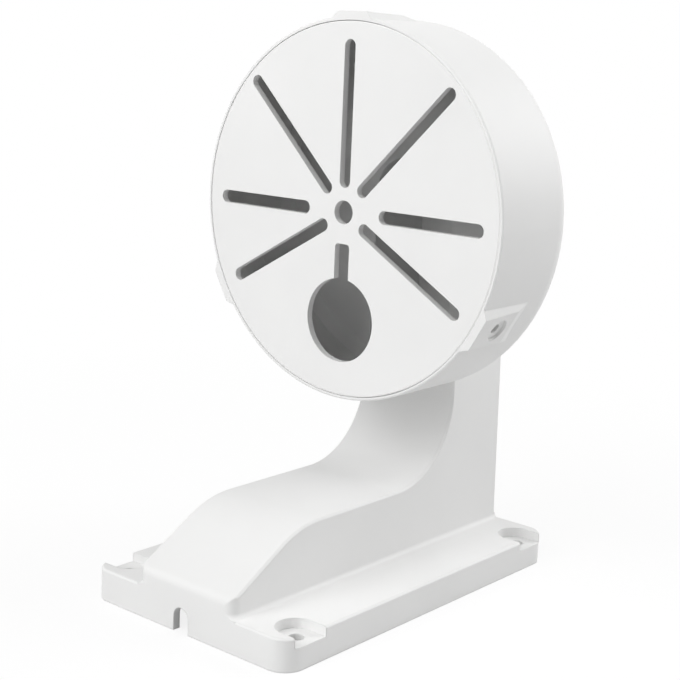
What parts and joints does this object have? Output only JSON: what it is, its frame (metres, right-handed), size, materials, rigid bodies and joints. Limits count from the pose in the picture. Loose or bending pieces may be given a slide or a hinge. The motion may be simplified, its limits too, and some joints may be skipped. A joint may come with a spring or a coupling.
{
  "type": "camera wall bracket",
  "caption": "White moulded wall bracket for a camera: hollow arm on a screw-down base, round drum closed by a slotted cover with a cable outlet.",
  "frame": {"origin": "middle of the base's underside, on the wall plane", "axes": "+Z away from the wall, X across the base, -Y the way the slotted cover looks"},
  "size_m": [0.122, 0.136, 0.1861],
  "materials": {
    "white_abs": "fine matte moulded grain"
  },
  "bodies": {
    "root": {"bracket_body": "white_abs", "cover_plate": "white_abs"}
  },
  "joints": []
}
